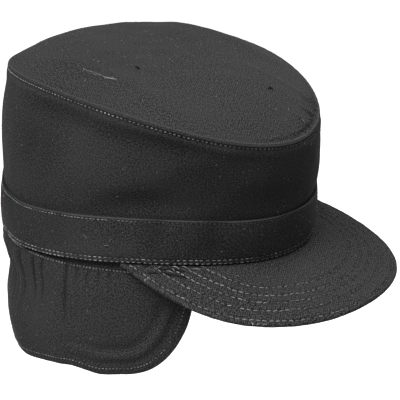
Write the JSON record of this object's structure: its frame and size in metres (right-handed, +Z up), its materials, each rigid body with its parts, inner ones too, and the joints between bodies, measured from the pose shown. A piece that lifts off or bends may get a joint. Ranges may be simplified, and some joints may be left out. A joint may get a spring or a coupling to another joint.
{
  "type": "combat cap",
  "caption": "Soft-sided dark twill winter combat cap with a domed top, a stitched peak, a wide band and an ear flap folded down round the sides and back.",
  "frame": {"origin": "middle of the opening that the head goes into, level with the rim at its sides", "axes": "-Y to the front, along the peak; +X to the wearer's left; +Z up, out through the top"},
  "size_m": [0.175, 0.2602, 0.1915],
  "materials": {
    "top_twill": "matte black cotton twill, slightly faded",
    "side_twill": "matte black cotton twill",
    "band_twill": "matte black cotton twill, doubled and topstitched",
    "peak_twill": "matte black cotton twill over a stiff board, with rows of stitching",
    "flap_twill": "matte black cotton twill with a warm backing"
  },
  "bodies": {
    "root": {"crown_top": "top_twill", "crown_side": "side_twill", "band": "band_twill", "peak": "peak_twill", "ear_flap": "flap_twill"}
  },
  "joints": []
}
